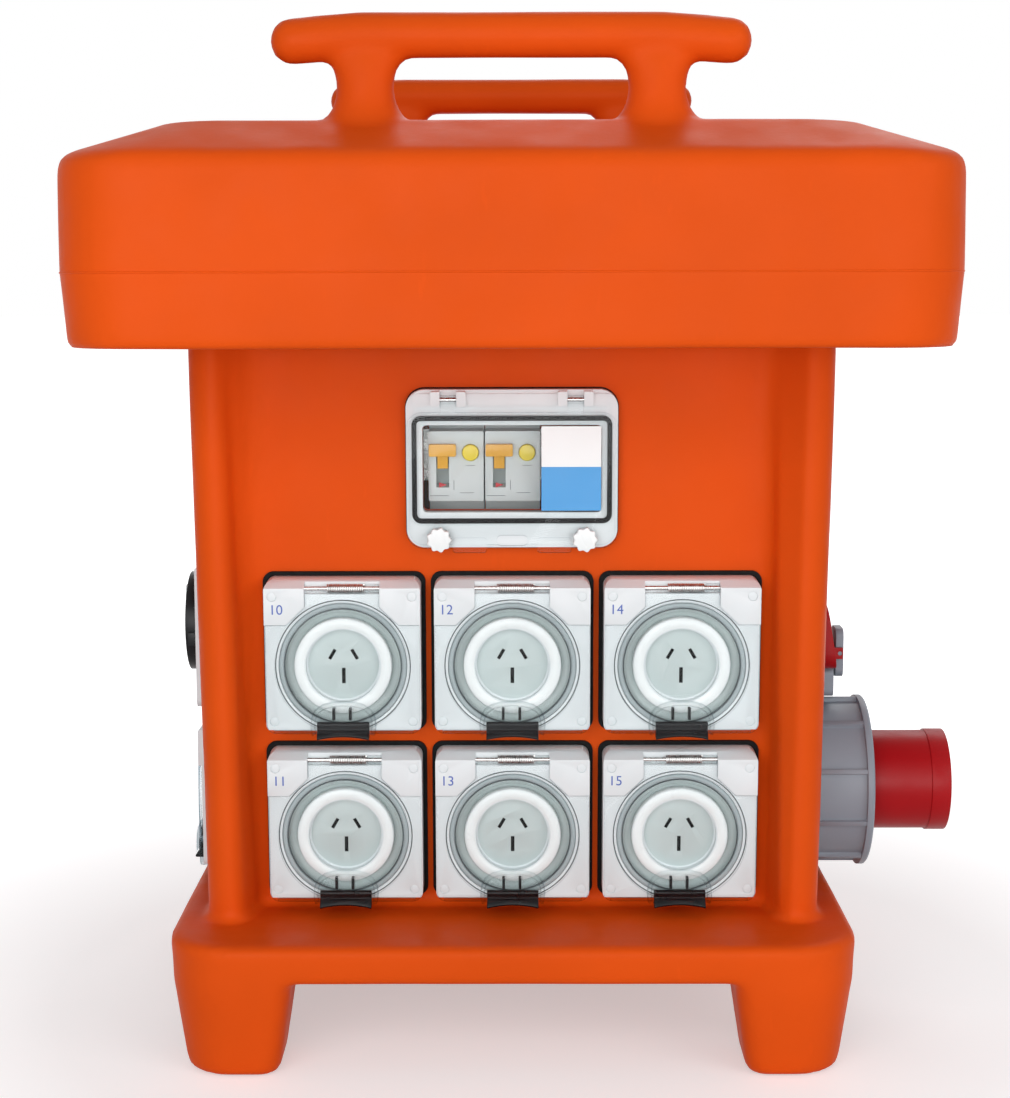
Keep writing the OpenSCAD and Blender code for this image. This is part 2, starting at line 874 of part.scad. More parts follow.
module inlet_shroud() {
    color(red) on_right(low_z) difference() {
        union() {
            rod(shroud_r, 12, inlet_len);
            rod(tip_r, inlet_len - band_l, inlet_len);
        }
        rod(shroud_inner_r, 50, inlet_len + 1);
        rod(24, 11, 44);
        inlet_pins_at() rod(2.9, 11, 51);
    }
}

module inlet_pins_at() {
    for (i = [0:4]) rotate([0, 0, 90 + i * 72]) translate([17, 0, 0]) children();
}

module inlet_pins() {
    color("#B8912F") on_right(low_z) inlet_pins_at() {
        rod(2.9, 36, 88);
        translate([0, 0, 88]) cylinder(r1 = 2.9, r2 = 1.6, h = 3);
    }
}

// ---- the three-phase outlet on the right ----

module phase_outlet_base() {
    color(grey) on_right(phase_z) difference() {
        union() {
            plate(92, 80, 8, 0, 6);
            translate([0, barrel_y, 0]) rod(barrel_r, 5, 23);
            translate([0, -29, 0]) plate(30, 21, 5, 5, 33);
            for (s = [-1, 1])
                translate([s * 19 - 3, phase_hinge_y - 3, 5]) cube([6, 7, phase_hinge_z + 2.4 - 5]);
        }
        translate([0, barrel_y, 0]) {
            rod(phase_well_r, 10, 24);
            for (i = [0:4]) rotate([0, 0, 90 + i * 72]) translate([11, 0, 0]) rod(2.5, 3, 11);
        }
        cross_rod(1.6, -23, 23, phase_hinge_y, phase_hinge_z);
    }
}

module phase_outlet_lid() {
    low = 23.4;
    top_t = 2.5;
    slope = 9.2;
    top_y = 29;
    color(red) on_right(phase_z) difference() {
        union() {
            difference() {
                intersection() {
                    translate([0, barrel_y + 0.5, 0]) plate(62, 47, 13, low, 34);
                    translate([-40, top_y, low + top_t]) rotate([-slope, 0, 0])
                        translate([0, -60, -20]) cube([80, 70, 20]);
                }
                translate([0, barrel_y, 0]) rod(phase_well_r + 0.5, low - 1, low + 1.2);
            }
            cross_rod(2.8, -15.6, 15.6, phase_hinge_y, phase_hinge_z);
            translate([-15.6, top_y - 5, low]) cube([31.2, phase_hinge_y - top_y + 5, 1.4]);
            for (s = [-1, 1])
                translate([s * 14 - 1.5, phase_latch_y - 4, low + 2]) cube([3, 8, phase_latch_z - low]);
        }
        cross_rod(1.55, -16, 16, phase_hinge_y, phase_hinge_z);
        cross_rod(1.55, -20, 20, phase_latch_y, phase_latch_z);
    }
}

module phase_outlet_latch() {
    y = phase_latch_y;
    z = phase_latch_z;
    color(grey) on_right(phase_z) {
        cross_rod(1.5, -15, 15, y, z);
        translate([0, -8.5, 0]) plate(23, 35, 6, z - 2.4, z + 3);
    }
}

// ---- inside ----

module terminal_bar(y, tint) {
    count = 10;
    step = 12;
    z = foot_h + floor_t;
    placed() translate([0, y, z]) {
        color(tint) difference() {
            translate([-count * step / 2, -5, 14]) cube([count * step, 10, 12]);
            for (i = [0:count - 1]) translate([(i - (count - 1) / 2) * step, 0, 0]) rod(2, 18, 28);
        }
        color(black) for (s = [-1, 1]) translate([s * 48, 0, 0]) rod(5, 0, 14);
    }
}

module earth_bar() {
    terminal_bar(-35, "#B8912F");
}

module neutral_bar() {
    terminal_bar(35, "#B8912F");
}

// The bundle of conductors: from inlet to isolator, up to the breakers, and out to each outlet
module wiring_loom() {
    trunk_r = 7;
    branch_r = 4;
    y = 8;
    color("#3A3A3E") placed() {
        cross_rod(trunk_r, 28 - side_x, side_x + 30, y, low_z);
        translate([0, y, 0]) rod(trunk_r, low_z, win_z);
        translate([0, y, win_z]) sphere(trunk_r);
        translate([0, y, win_z]) rotate([90, 0, 0]) cylinder(r = trunk_r, h = y + 54);
        for (i = [-1, 1], x = [-1, 0, 1]) translate([x * pitch_x, y, low_z + 6]) {
            if (i > 0) rod(branch_r, 0, pitch_y - 8);
            translate([0, 0, i > 0 ? pitch_y - 8 : -6]) {
                sphere(branch_r);
                rotate([90, 0, 0]) cylinder(r = branch_r, h = y + (i > 0 ? 86 : 79));
            }
        }
    }
}

lower_body();
canopy();
canopy_screws();
rear_cover();
rear_cover_gasket();
rear_cover_screws();
window_gasket();
window_frame();
window_hinge_pins();
window_lid();
window_lid_seal();
window_label();
window_knob_left();
window_knob_right();
din_rail();
breaker_1_case();
breaker_1_toggle();
breaker_1_test_button();
breaker_2_case();
breaker_2_toggle();
breaker_2_test_button();
device_gaskets();
outlet_sockets();
outlet_screws();
flap_hinge_pins();
flap_springs();
for (n = [10:16]) {
    at_outlet(n) enclosure();
    at_outlet(n) flap();
    at_outlet(n) latch();
}
isolator_box();
isolator_knob();
isolator_rim();
inlet_base();
inlet_ring();
inlet_shroud();
inlet_pins();
phase_outlet_base();
phase_outlet_lid();
phase_outlet_latch();
earth_bar();
neutral_bar();
wiring_loom();
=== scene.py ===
import json
import math

import bmesh
import bpy
from mathutils import Matrix, Vector, noise

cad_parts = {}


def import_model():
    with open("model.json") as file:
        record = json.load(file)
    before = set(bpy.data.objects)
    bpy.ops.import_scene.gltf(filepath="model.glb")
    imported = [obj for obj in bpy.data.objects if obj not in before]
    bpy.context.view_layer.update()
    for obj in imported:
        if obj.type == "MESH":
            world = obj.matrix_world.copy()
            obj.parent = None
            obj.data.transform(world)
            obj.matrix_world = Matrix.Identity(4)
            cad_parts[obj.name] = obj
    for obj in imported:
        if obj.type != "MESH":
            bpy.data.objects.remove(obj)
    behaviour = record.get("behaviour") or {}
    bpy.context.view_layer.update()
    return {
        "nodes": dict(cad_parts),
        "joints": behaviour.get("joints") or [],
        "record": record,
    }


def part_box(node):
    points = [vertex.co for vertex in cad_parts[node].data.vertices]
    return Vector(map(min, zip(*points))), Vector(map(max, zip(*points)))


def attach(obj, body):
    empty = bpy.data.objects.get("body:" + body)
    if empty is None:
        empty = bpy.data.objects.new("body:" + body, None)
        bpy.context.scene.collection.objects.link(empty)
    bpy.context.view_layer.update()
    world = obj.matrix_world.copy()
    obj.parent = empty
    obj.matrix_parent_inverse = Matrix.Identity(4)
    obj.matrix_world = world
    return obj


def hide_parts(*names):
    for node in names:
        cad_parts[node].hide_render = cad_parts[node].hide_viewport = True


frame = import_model()
NODES = frame["nodes"]
RECORD = frame["record"]
MM = 0.001

# ---------------------------------------------------------------- places
# Each device has its own frame: x to the right of someone facing it, y up its panel, z outwards.
# Lengths in these frames are in millimetres, as in the CAD.

JOINTS = {j["name"]: j for j in frame["joints"]}
MOUNTS = {m["name"]: m for m in RECORD["mounts"]}
OUTLETS = range(10, 17)
ENC = 101.5
HALF = ENC / 2
ENC_D = 24.0
SOCKET_Y = -5.7
WELL_MID_Z = 18.75


def device_frame(point, normal, local):
    """The matrix of a device's frame, from one point whose local coordinates are known."""
    n = Vector(normal).normalized()
    right = Vector((0, 0, 1)).cross(n).normalized()
    up = n.cross(right)
    turn = Matrix((right, up, n)).transposed()
    origin = Vector(point) - turn @ (Vector(local) * MM)
    return Matrix.Translation(origin) @ turn.to_4x4() @ Matrix.Scale(MM, 4)


FRONT = MOUNTS["outlet_12_well"]["axis"]
AT_OUTLET = {
    n: device_frame(well["pos_m"], well["axis"], (0, SOCKET_Y, WELL_MID_Z))
    for n, well in ((n, MOUNTS[f"outlet_{n}_well"]) for n in OUTLETS)
}
AT_WINDOW = device_frame(JOINTS["window_lid_hinge"]["pos_m"], FRONT, (0, 45.4, 12.4))
BASE_LO, BASE_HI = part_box("lower_body")
CANOPY_LO, CANOPY_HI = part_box("canopy")
MID = Matrix.Translation(((BASE_LO.x + BASE_HI.x) / 2, 0, 0)) @ Matrix.Scale(MM, 4)

# ---------------------------------------------------------------- materials


def shader(name):
    """A new material, its node tree and its Principled shader."""
    mat = bpy.data.materials.new(name)
    mat.use_nodes = True
    tree = mat.node_tree
    return mat, tree, tree.nodes["Principled BSDF"]


def add(tree, kind, **values):
    node = tree.nodes.new(kind)
    for key, value in values.items():
        if hasattr(node, key):
            setattr(node, key, value)
        else:
            node.inputs[key.replace("_", " ")].default_value = value
    return node


def noise_at(tree, scale, detail=2.0, stretch=(1, 1, 1)):
    """A noise texture in the object's own space; scale is in cycles per metre."""
    place = tree.nodes.new("ShaderNodeTexCoord")
    mapping = tree.nodes.new("ShaderNodeMapping")
    mapping.inputs["Scale"].default_value = stretch
    tex = tree.nodes.new("ShaderNodeTexNoise")
    tex.inputs["Scale"].default_value = scale
    tex.inputs["Detail"].default_value = detail
    tree.links.new(place.outputs["Object"], mapping.inputs["Vector"])
    tree.links.new(mapping.outputs["Vector"], tex.inputs["Vector"])
    return tex.outputs["Fac"]


def ramp(tree, source, low, high, start=0.35, end=0.65):
    """Maps source between start and end to a value or colour between low and high."""
    node = tree.nodes.new("ShaderNodeValToRGB")
    for element, place, value in zip(node.color_ramp.elements, (start, end), (low, high)):
        element.position = place
        element.color = value if isinstance(value, tuple) else (value, value, value, 1)
    tree.links.new(source, node.inputs["Fac"])
    return node.outputs["Color"]


def bump(tree, bsdf, height, strength, distance):
    node = tree.nodes.new("ShaderNodeBump")
    node.inputs["Strength"].default_value = strength
    node.inputs["Distance"].default_value = distance
    tree.links.new(height, node.inputs["Height"])
    tree.links.new(node.outputs["Normal"], bsdf.inputs["Normal"])
    return node


def linear(code):
    """A colour written as RRGGBB, in linear light."""
    parts = [int(code[i : i + 2], 16) / 255 for i in (0, 2, 4)]
    return tuple(p / 12.92 if p <= 0.04045 else ((p + 0.055) / 1.055) ** 2.4 for p in parts) + (1.0,)


def shade(colour, factor):
    return tuple(min(1.0, c * factor) for c in colour[:3]) + (1.0,)


def moulded(name, code, rough=0.4, grain=0.15, grain_scale=2500, mottle=0.05, specular=0.5):
    """Moulded plastic: a fine grain, slightly uneven gloss and a little colour variation."""
    mat, tree, bsdf = shader(name)
    colour = linear(code)
    tone = ramp(tree, noise_at(tree, 18, 3), shade(colour, 1 - mottle), shade(colour, 1 + mottle))
    tree.links.new(tone, bsdf.inputs["Base Color"])
    gloss = ramp(tree, noise_at(tree, 60, 4), rough - 0.05, rough + 0.07, 0.3, 0.7)
    tree.links.new(gloss, bsdf.inputs["Roughness"])
    bsdf.inputs["Specular IOR Level"].default_value = specular
    bump(tree, bsdf, noise_at(tree, grain_scale, 2), grain, 0.0002)
    return mat


def rotomoulded(name, code):
    """Satin polyethylene: soft sheen, faint clouding, an orange-peel skin and a scatter of fine scuffs."""
    mat, tree, bsdf = shader(name)
    colour = linear(code)
    cloud = ramp(tree, noise_at(tree, 7, 4), shade(colour, 0.93), shade(colour, 1.06), 0.3, 0.7)
    scuff = ramp(tree, noise_at(tree, 90, 8, (1, 1, 0.25)), 0.0, 1.0, 0.66, 0.8)
    mix = add(tree, "ShaderNodeMix", data_type="RGBA")
    mix.inputs["B"].default_value = shade(colour, 1.25)
    tree.links.new(cloud, mix.inputs["A"])
    weaken = add(tree, "ShaderNodeMath", operation="MULTIPLY")
    weaken.inputs[1].default_value = 0.25
    tree.links.new(scuff, weaken.inputs[0])
    tree.links.new(weaken.outputs[0], mix.inputs["Factor"])
    tree.links.new(mix.outputs["Result"], bsdf.inputs["Base Color"])
    gloss = ramp(tree, noise_at(tree, 35, 5), 0.4, 0.54, 0.3, 0.7)
    tree.links.new(gloss, bsdf.inputs["Roughness"])
    bsdf.inputs["Specular IOR Level"].default_value = 0.06
    peel = add(tree, "ShaderNodeMath", operation="MULTIPLY_ADD")
    peel.inputs[1].default_value = 0.35
    tree.links.new(noise_at(tree, 1400, 2), peel.inputs[0])
    tree.links.new(noise_at(tree, 260, 3), peel.inputs[2])
    bump(tree, bsdf, peel.outputs[0], 0.16, 0.0006)
    return mat


def rubber(name, code="0B0B0C"):
    mat, tree, bsdf = shader(name)
    bsdf.inputs["Base Color"].default_value = linear(code)
    bsdf.inputs["Specular IOR Level"].default_value = 0.15
    gloss = ramp(tree, noise_at(tree, 300, 3), 0.55, 0.7)
    tree.links.new(gloss, bsdf.inputs["Roughness"])
    bump(tree, bsdf, noise_at(tree, 1800, 2), 0.2, 0.0003)
    return mat


def metal(name, code, rough=0.3):
    mat, tree, bsdf = shader(name)
    colour = linear(code)
    tone = ramp(tree, noise_at(tree, 150, 4), shade(colour, 0.85), shade(colour, 1.1))
    tree.links.new(tone, bsdf.inputs["Base Color"])
    bsdf.inputs["Metallic"].default_value = 1.0
    gloss = ramp(tree, noise_at(tree, 500, 4), rough - 0.08, rough + 0.1)
    tree.links.new(gloss, bsdf.inputs["Roughness"])
    return mat


def clear(name, haze=0.0, tint="FDFEFE", rim="8796A0", rough=0.05):
    """Clear polycarbonate: light goes straight through, and only outer faces reflect.

    It is darker where it is seen along its surface: painted shade that stands in for the dark edges that
    refraction gives clear plastic.
    """
    mat, tree, bsdf = shader(name)
    bsdf.inputs["Base Color"].default_value = linear("E4EBEC")
    bsdf.inputs["Roughness"].default_value = 0.3
    through = add(tree, "ShaderNodeBsdfTransparent")
    facing = add(tree, "ShaderNodeLayerWeight")
    facing.inputs["Blend"].default_value = 0.35
    # Painted shade: the see-through colour darkens to the rim colour towards a grazing view.
    painted_edge_shade = ramp(tree, facing.outputs["Facing"], linear(tint), linear(rim), 0.4, 0.95)
    tree.links.new(painted_edge_shade, through.inputs["Color"])
    shine = add(tree, "ShaderNodeBsdfGlossy")
    shine.inputs["Roughness"].default_value = rough
    shine.inputs["Color"].default_value = (0.9, 0.93, 0.95, 1)
    edge = add(tree, "ShaderNodeFresnel")
    edge.inputs["IOR"].default_value = 1.25
    veil = add(tree, "ShaderNodeMixShader")
    veil.inputs[0].default_value = haze
    tree.links.new(through.outputs[0], veil.inputs[1])
    tree.links.new(bsdf.outputs[0], veil.inputs[2])
    side = tree.nodes.new("ShaderNodeNewGeometry")
    outside = add(tree, "ShaderNodeMath", operation="SUBTRACT")
    outside.inputs[0].default_value = 1.0
    tree.links.new(side.outputs["Backfacing"], outside.inputs[1])
    outer_edge = add(tree, "ShaderNodeMath", operation="MULTIPLY")
    tree.links.new(edge.outputs[0], outer_edge.inputs[0])
    tree.links.new(outside.outputs[0], outer_edge.inputs[1])
    mix = add(tree, "ShaderNodeMixShader")
    tree.links.new(outer_edge.outputs[0], mix.inputs[0])
    tree.links.new(veil.outputs[0], mix.inputs[1])
    tree.links.new(shine.outputs[0], mix.inputs[2])
    tree.links.new(mix.outputs[0], tree.nodes["Material Output"].inputs["Surface"])
    return mat


ORANGE = rotomoulded("orange polyethylene", "DA4F10")
LIGHT = moulded("light grey plastic", "DCE2E4", 0.36, 0.08, 3000, 0.02)
FACE = moulded("socket face plastic", "C2CDCC", 0.42, 0.1, 3000, 0.03)
COLLAR = moulded("white collar plastic", "F0F4F4", 0.3, 0.06, 3000, 0.02)
WHITE = moulded("white plastic", "E8EEEE", 0.28, 0.06, 3000, 0.02)
SEAL = moulded("grey flap seal", "A3AEB1", 0.5, 0.15, 2500, 0.05)
# Painted shade: dark thin rings under the flap's clear rims, for the dark lines those rims show.
SEAL_EDGE_SHADE = moulded("painted seal edge shade", "4A5356", 0.5, 0.1, 2500, 0.05)
RING = moulded("ring grey plastic", "8A929C", 0.4, 0.15, 2200, 0.05, 0.3)
RED = moulded("red plastic", "A50A12", 0.36, 0.08, 2600, 0.05, 0.18)
BLACK = moulded("black plastic", "0D0D10", 0.3, 0.1, 2600, 0.08, 0.2)
TOGGLE = moulded("toggle yellow plastic", "D99F12", 0.32, 0.06, 3000, 0.04)
BUTTON = moulded("button yellow plastic", "DFC91C", 0.34, 0.06, 3000, 0.04)
CASE = moulded("breaker case plastic", "C6CDCD", 0.42, 0.1, 3000, 0.03)
LABEL_BLUE = moulded("label blue film", "3F97D6", 0.35, 0.03, 3000, 0.01)
LABEL_WHITE = moulded("label white film", "EDF1F1", 0.35, 0.03, 3000, 0.01)
INK_BLUE = moulded("blue ink", "4A63B0", 0.5, 0.02, 3000, 0.02)
INK_RED = moulded("red ink", "B3202A", 0.5, 0.02, 3000, 0.02)
INK_GREY = moulded("grey ink", "5A6468", 0.5, 0.02, 3000, 0.02)
# Painted shade: a near-black finish for the blocks that stand for the dark inside the socket slots.
SLOT_SHADE = rubber("painted slot shade", "030303")
RUBBER = rubber("black rubber")
CABLE = rubber("cable sheath", "242428")
STEEL = metal("zinc plated steel", "CDCCCA", 0.3)
BRASS = metal("nickel brass", "C79C52", 0.3)
CLEAR = clear("clear polycarbonate")
CLEAR_LID = clear("clear lid polycarbonate", 0.003)

SLOT_OF = {
    ORANGE: "orange_polyethylene",
    WHITE: "white_plastic",
    FACE: "socket_face_plastic",
    RED: "red_plastic",
    TOGGLE: "yellow_toggle_plastic",
    BUTTON: "yellow_button_plastic",
    RUBBER: "black_rubber",
    CABLE: "cable_sheath",
    STEEL: "zinc_steel",
    BRASS: "brass",
    **dict.fromkeys((LIGHT, COLLAR, CASE), "light_grey_plastic"),
    **dict.fromkeys((SEAL, SEAL_EDGE_SHADE, RING), "ring_grey_plastic"),
    **dict.fromkeys((BLACK, SLOT_SHADE), "black_plastic"),
    **dict.fromkeys((LABEL_BLUE, LABEL_WHITE, INK_BLUE, INK_RED, INK_GREY), "label_film"),
    **dict.fromkeys((CLEAR, CLEAR_LID), "clear_polycarbonate"),
}

# ---------------------------------------------------------------- mesh helpers


def finish_piece(name, bm, place, mat, body, smooth_angle=35, bevel=0.0, segments=2):
    """Turns a bmesh in a device's frame into a piece that rides on a body."""
    bmesh.ops.recalc_face_normals(bm, faces=bm.faces)
    mesh = bpy.data.meshes.new(name)
    bm.to_mesh(mesh)
    bm.free()
    mesh.transform(place)
    obj = bpy.data.objects.new(name, mesh)
    bpy.context.scene.collection.objects.link(obj)
    mesh.materials.append(mat)
    return dress(obj, body, smooth_angle, bevel, segments)


def dress(obj, body, smooth_angle=35, bevel=0.0, segments=2):
    if bevel:
        apply_modifier(obj, "BEVEL", width=bevel * MM, segments=segments, limit_method="ANGLE",
                       angle_limit=math.radians(30), use_clamp_overlap=True)
    obj.data.shade_smooth()
    obj.data.set_sharp_from_angle(angle=math.radians(smooth_angle))
    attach(obj, body)
    return obj


def apply_modifier(obj, kind, **settings):
    modifier = obj.modifiers.new(kind.lower(), kind)
    for key, value in settings.items():
        setattr(modifier, key, value)
    graph = bpy.context.evaluated_depsgraph_get()
    made = bpy.data.meshes.new_from_object(obj.evaluated_get(graph))
    old = obj.data
    obj.modifiers.clear()
    obj.data = made
    bpy.data.meshes.remove(old)


def rounded_copy(node, mat, body, width=0.5, segments=2, angle=38):
    """A CAD node with its outer edges softened, in place of the node itself."""
    source = NODES[node]
    bm = bmesh.new()
    bm.from_mesh(source.data)
    bmesh.ops.remove_doubles(bm, verts=bm.verts, dist=0.00002)
    bmesh.ops.dissolve_limit(bm, angle_limit=math.radians(0.6), verts=bm.verts, edges=bm.edges)
    for face in bm.faces:
        face.material_index = 0
    mesh = bpy.data.meshes.new(node + "_skin")
    bm.to_mesh(mesh)
    bm.free()
    mesh.materials.clear()
    mesh.materials.append(mat)
    obj = bpy.data.objects.new(node + "_skin", mesh)
    bpy.context.scene.collection.objects.link(obj)
    dress(obj, body, angle, width, segments)
    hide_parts(node)
    return obj


def paint(node, mat):
    """A CAD node that keeps its own mesh gets its finish."""
    mesh = NODES[node].data
    mesh.materials.clear()
    mesh.materials.append(mat)


def arc(cx, cy, r, start, end, steps):
    """Points along an arc, angles in degrees."""
    turn = [math.radians(start + (end - start) * i / steps) for i in range(steps + 1)]
    return [(cx + r * math.cos(t), cy + r * math.sin(t)) for t in turn]


def rounded_rect(w, d, r, cx=0.0, cy=0.0, steps=8):
    x, y = w / 2 - r, d / 2 - r
    return [
        p for sx, sy, a in ((1, 1, 0), (-1, 1, 90), (-1, -1, 180), (1, -1, 270))
        for p in arc(cx + sx * x, cy + sy * y, r, a, a + 90, steps)
    ]


def prism(bm, outline, z0, z1):
    """A closed solid between z0 and z1 over an outline."""
    low = [bm.verts.new((x, y, z0)) for x, y in outline]
    high = [bm.verts.new((x, y, z1)) for x, y in outline]
    bm.faces.new(low[::-1])
    bm.faces.new(high)
    for i in range(len(low)):
        j = (i + 1) % len(low)
        bm.faces.new((low[i], low[j], high[j], high[i]))


def loft(bm, rings):
    """A closed solid through rings of equally many points."""
    rows = [[bm.verts.new(p) for p in ring] for ring in rings]
    bm.faces.new(rows[0][::-1])
    bm.faces.new(rows[-1])
    for a, b in zip(rows, rows[1:]):
        for i in range(len(a)):
            j = (i + 1) % len(a)
            bm.faces.new((a[i], a[j], b[j], b[i]))


def revolve(bm, section, steps=64, centre=(0.0, 0.0)):
    """A solid of revolution about the frame's z axis; section is a closed outline of (radius, z)."""
    rows = []
    for k in range(steps):
        c, s = math.cos(2 * math.pi * k / steps), math.sin(2 * math.pi * k / steps)
        rows.append([bm.verts.new((centre[0] + r * c, centre[1] + r * s, z)) for r, z in section])
    for k in range(steps):
        a, b = rows[k], rows[(k + 1) % steps]
        for i in range(len(section)):
            j = (i + 1) % len(section)
            bm.faces.new((a[i], b[i], b[j], a[j]))


def ring_section(r0, r1, z0, z1, soft=0.5):
    """A rectangular section with softened corners."""
    return [(r0 + soft, z0), (r1 - soft, z0), (r1, z0 + soft), (r1, z1 - soft), (r1 - soft, z1),
            (r0 + soft, z1), (r0, z1 - soft), (r0, z0 + soft)]


def tube(bm, path, r, sides=8, closed=False):
    """A round tube along a path."""
    points = [Vector(p) for p in path]
    rows = []
    side = None
    for i, p in enumerate(points):
        before = points[i - 1] if i or closed else points[0]
        after = points[(i + 1) % len(points)] if i < len(points) - 1 or closed else points[-1]
        ahead = (after - before).normalized()
        if side is None:
            side = ahead.orthogonal().normalized()
        side = (side - ahead * side.dot(ahead)).normalized()
        other = ahead.cross(side)
        rows.append([
            bm.verts.new(p + (side * math.cos(a) + other * math.sin(a)) * r)
            for a in (2 * math.pi * k / sides for k in range(sides))
        ])
    pairs = list(zip(rows, rows[1:])) + ([(rows[-1], rows[0])] if closed else [])
    for a, b in pairs:
        for k in range(sides):
            m = (k + 1) % sides
            bm.faces.new((a[k], a[m], b[m], b[k]))
    if not closed:
        bm.faces.new(rows[0][::-1])
        bm.faces.new(rows[-1])


def moulded_skin(name, bm, node, voxel, passes, ripple=0.25, cuts=()):
    """Merges the solids in bm into one soft-edged moulding that stands for a CAD node."""
    mesh = bpy.data.meshes.new(name)
    bm.to_mesh(mesh)
    bm.free()
    mesh.transform(MID)
    obj = bpy.data.objects.new(name, mesh)
    bpy.context.scene.collection.objects.link(obj)
    mesh.materials.append(ORANGE)
    apply_modifier(obj, "REMESH", mode="VOXEL", voxel_size=voxel * MM, use_smooth_shade=True)
    apply_modifier(obj, "SMOOTH", factor=0.5, iterations=passes)
    normals = [v.normal.copy() for v in obj.data.vertices]
    for v, normal in zip(obj.data.vertices, normals):
        v.co += normal * (noise.noise(v.co * 14) * ripple * MM)
    for cut in cuts:
        bmesh.ops.recalc_face_normals(cut, faces=cut.faces)
        cutter_mesh = bpy.data.meshes.new("cut")
        cut.to_mesh(cutter_mesh)
        cut.free()
        cutter_mesh.transform(MID)
        cutter = bpy.data.objects.new("cut", cutter_mesh)
        bpy.context.scene.collection.objects.link(cutter)
        apply_modifier(obj, "BOOLEAN", operation="DIFFERENCE", object=cutter, solver="EXACT")
        bpy.data.objects.remove(cutter)
    obj.data.materials.clear()
    obj.data.materials.append(ORANGE)
    dress(obj, "box", 50)
    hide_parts(node)
    return obj


# ---------------------------------------------------------------- the two orange mouldings

TILT = math.atan2(-FRONT[2], -FRONT[1])
GRID_Z = 207.5
PANEL_Y = 147 - 35.2
SIDE_X = 195.5
BODY_TOP, LEDGE = 469, 89
SEAM_Z = 512.5
BASE_X, BASE_Y = 223, 202


def panel_at(z):
    """How far the front and rear panels stand from the middle at height z."""
    return PANEL_Y + (z - GRID_Z) * math.tan(TILT)


def body_section(z):
    """The posts and panels cut at one height, in millimetres from the middle of the box."""
    panel = panel_at(z)
    half = (417 - 13 * (BODY_TOP - z) / (BODY_TOP - LEDGE)) / 2
    quarter = (
        [(160, panel), (170, panel + 3), (half - 24.5, 141), (half - 18.5, 147)]
        + arc(half - 18, 147 - 18, 18, 90, 0, 8)[1:]
        + [(half, 106), (half - 3, 101), (SIDE_X + 1, 97), (SIDE_X, 88)]
    )
    mirrored = [(x, -y) for x, y in quarter[::-1]]
    right = quarter + mirrored
    left = [(-x, -y) for x, y in right]
    return [(x, y, z) for x, y in right + left]


def slab_ring(half_x, half_y, r, z):
    return [(x, y, z) for x, y in rounded_rect(2 * half_x, 2 * half_y, r, steps=8)]


def foot_ring(draw, z, sx, sy):
    outer, inner = 42 - draw, 13
    x1, y1, x0, y0 = BASE_X - draw, BASE_Y - draw, BASE_X - 83 + draw, BASE_Y - 83 + draw
    points = (
        arc(x1 - outer, y1 - outer, outer, 0, 90, 10)
        + arc(x0 + inner, y1 - inner, inner, 90, 180, 5)
        + arc(x0 + inner, y0 + inner, inner, 180, 270, 5)
        + arc(x1 - inner, y0 + inner, inner, 270, 360, 5)
    )
    return [(sx * x, sy * y, z) for x, y in points]


def lower_body():
    bm = bmesh.new()
    loft(bm, [body_section(z) for z in (70, BODY_TOP)])
    edge = ((1.6, 43, 64), (0, 45, 84.5), (0.6, 44.5, 87.4), (3.2, 42, LEDGE))
    loft(bm, [slab_ring(BASE_X - inset, BASE_Y - inset, r, z) for inset, r, z in edge])
    for sx in (-1, 1):
        for sy in (-1, 1):
            loft(bm, [foot_ring(d, z, sx, sy) for d, z in
                      ((13, 0.3), (11, 2.2), (9.6, 8), (1.8, 60), (1.6, 68), (1.6, 74))])
    # the hollow, and the window's opening into it
    cuts = bmesh.new()
    walls = 2 * 5.5
    loft(cuts, [
        [(x, y, z) for x, y in rounded_rect(2 * SIDE_X - walls, 2 * panel_at(z) - walls, 14)]
        for z in (72, 462)
    ])
    window_to_middle = MID.inverted() @ AT_WINDOW
    hole = bmesh.new()
    prism(hole, rounded_rect(116, 57, 3), -14, 6)
    bmesh.ops.transform(hole, matrix=window_to_middle, verts=hole.verts)
    moulded_skin("lower_body_moulding", bm, "lower_body", 3.3, 3, cuts=[cuts, hole])


def canopy_ring(z, inset):
    return slab_ring(266.6 - inset, 277.6 - inset, 45, z)


def canopy():
    bm = bmesh.new()
    fillet, shoulder, top, slope = 10, 583, 602, 55
    levels = ((468.4, 4.5), (469.6, 3), (SEAM_Z, 0), (shoulder - fillet, 0.4))
    rings = [canopy_ring(z, inset) for z, inset in levels]
    for a in (34, 68):
        c, s = math.cos(math.radians(a)), math.sin(math.radians(a))
        rings.append(canopy_ring(shoulder - fillet + fillet * s, 0.4 + fillet * (1 - c)))
    rings += [canopy_ring(top - 3, slope - 7), canopy_ring(top, slope)]
    loft(bm, rings)
    for side in (-1, 1):
        grip(bm, side)
    moulded_skin("canopy_moulding", bm, "canopy", 3.3, 4)


def grip(bm, side):
    """A grip bar, whose ends droop a little, on its two flared legs."""
    y, z, r, end, droop = side * 208, 652.2, 13.6, 143.5, 3.5
    tube(bm, [(x, y, z - (droop if abs(x) > 100 else 0)) for x in (-end + r, -90, 0, 90, end - r)], r, 24)
    for s in (-1, 1):
        ball = bmesh.ops.create_uvsphere(bm, u_segments=24, v_segments=16, radius=r)
        bmesh.ops.translate(bm, verts=ball["verts"], vec=(s * (end - r), y, z - droop))
        rings = []
        for height, half_x, half_y in (
            (585, 33, 26), (598, 30, 24), (603.5, 24, 19), (610, 19.5, 15.5), (620, 17, 13.8),
            (629, 18, 13.2), (635, 20.5, 12.8), (640, 26, 11.5), (645, 33, 9.5), (651, 39, 6),
        ):
            rings.append([
                (s * 87 + half_x * math.cos(t), y + half_y * math.sin(t), height)
                for t in (2 * math.pi * k / 28 for k in range(28))
            ])
        loft(bm, rings)


